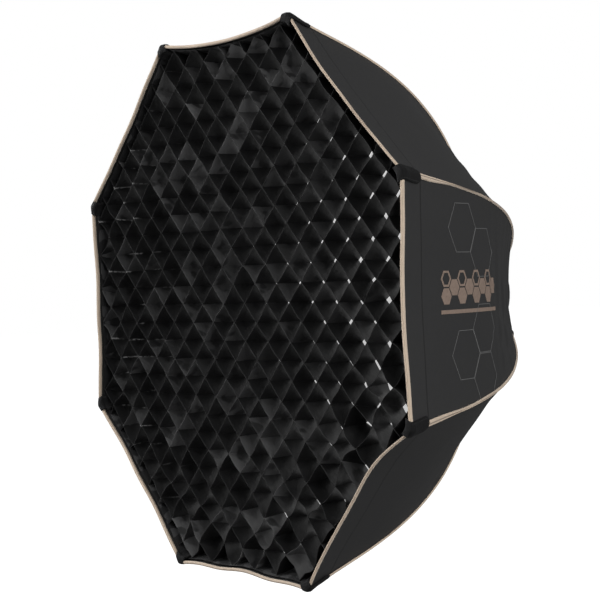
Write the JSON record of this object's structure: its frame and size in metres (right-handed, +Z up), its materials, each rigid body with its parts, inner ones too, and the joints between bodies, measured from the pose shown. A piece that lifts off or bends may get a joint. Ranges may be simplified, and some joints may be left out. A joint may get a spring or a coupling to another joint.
{
  "type": "octagonal softbox with honeycomb grid",
  "caption": "Octagonal fabric softbox on sprung ribs, wearing a removable fabric honeycomb grid over a white front diffuser, with a rotating bayonet mount at the rear.",
  "frame": {"origin": "centre of the rear light-mount plane, on the optical axis", "axes": "+Y along the optical axis from the front opening to the light head, +Z up, +X to the right seen from the front"},
  "size_m": [0.8358, 0.5248, 0.8358],
  "materials": {
    "shell_cloth": "matte black coated polyester, silver inside",
    "webbing": "ribbed black webbing",
    "tan_trim": "woven tan cord and tape",
    "grid_cloth": "black satin polyester",
    "hook_tape": "black hook-and-loop tape",
    "white_cloth": "white translucent polyester",
    "spring_steel": "drawn rod",
    "black_metal": "cast, satin black powder coat",
    "bare_metal": "turned, satin",
    "black_plastic": "fine texture"
  },
  "bodies": {
    "mount": {"mount_insert": "bare_metal"},
    "softbox": {"shell_panel_1": "shell_cloth", "shell_panel_2": "shell_cloth", "shell_panel_3": "shell_cloth", "shell_panel_4": "shell_cloth", "shell_panel_5": "shell_cloth", "shell_panel_6": "shell_cloth", "shell_panel_7": "shell_cloth", "shell_panel_8": "shell_cloth", "rib_1": "spring_steel", "rib_2": "spring_steel", "rib_3": "spring_steel", "rib_4": "spring_steel", "rib_5": "spring_steel", "rib_6": "spring_steel", "rib_7": "spring_steel", "rib_8": "spring_steel", "rib_socket_1": "black_metal", "rib_socket_2": "black_metal", "rib_socket_3": "black_metal", "rib_socket_4": "black_metal", "rib_socket_5": "black_metal", "rib_socket_6": "black_metal", "rib_socket_7": "black_metal", "rib_socket_8": "black_metal", "corner_pocket_1": "webbing", "corner_pocket_2": "webbing", "corner_pocket_3": "webbing", "corner_pocket_4": "webbing", "corner_pocket_5": "webbing", "corner_pocket_6": "webbing", "corner_pocket_7": "webbing", "corner_pocket_8": "webbing", "seam_binding_1": "tan_trim", "seam_binding_2": "tan_trim", "seam_binding_3": "tan_trim", "seam_binding_4": "tan_trim", "seam_binding_5": "tan_trim", "seam_binding_6": "tan_trim", "seam_binding_7": "tan_trim", "seam_binding_8": "tan_trim", "rim_piping_1": "tan_trim", "rim_piping_2": "tan_trim", "rim_piping_3": "tan_trim", "rim_piping_4": "tan_trim", "rim_piping_5": "tan_trim", "rim_piping_6": "tan_trim", "rim_piping_7": "tan_trim", "rim_piping_8": "tan_trim", "speed_ring": "black_metal", "retaining_ring": "black_metal", "rear_collar": "webbing"},
    "lock": {"lock_knob": "black_plastic", "lock_stud": "bare_metal"},
    "baffle": {"inner_baffle": "white_cloth"},
    "diffuser": {"front_diffuser": "white_cloth", "diffuser_hem_band": "hook_tape"},
    "grid": {"grid_strips_rising": "grid_cloth", "grid_strips_falling": "grid_cloth", "grid_border_band": "hook_tape"}
  },
  "joints": [
    {"name": "softbox_turn", "type": "hinge", "parent": "mount", "child": "softbox", "pos_m": [0, 0, 0], "axis": [0, 1, 0], "continuous": true},
    {"name": "lock_knob_turn", "type": "hinge", "parent": "softbox", "child": "lock", "pos_m": [0.05657, -0.0115, -0.05657], "axis": [0.7071, 0, -0.7071], "range_deg": [0, 360]},
    {"name": "baffle_pull_off", "type": "slide", "parent": "softbox", "child": "baffle", "axis": [0, -1, 0], "range_m": [0, 0.3]},
    {"name": "diffuser_pull_off", "type": "slide", "parent": "baffle", "child": "diffuser", "axis": [0, -1, 0], "range_m": [0, 0.1]},
    {"name": "grid_pull_off", "type": "slide", "parent": "diffuser", "child": "grid", "axis": [0, -1, 0], "range_m": [0, 0.08]}
  ]
}
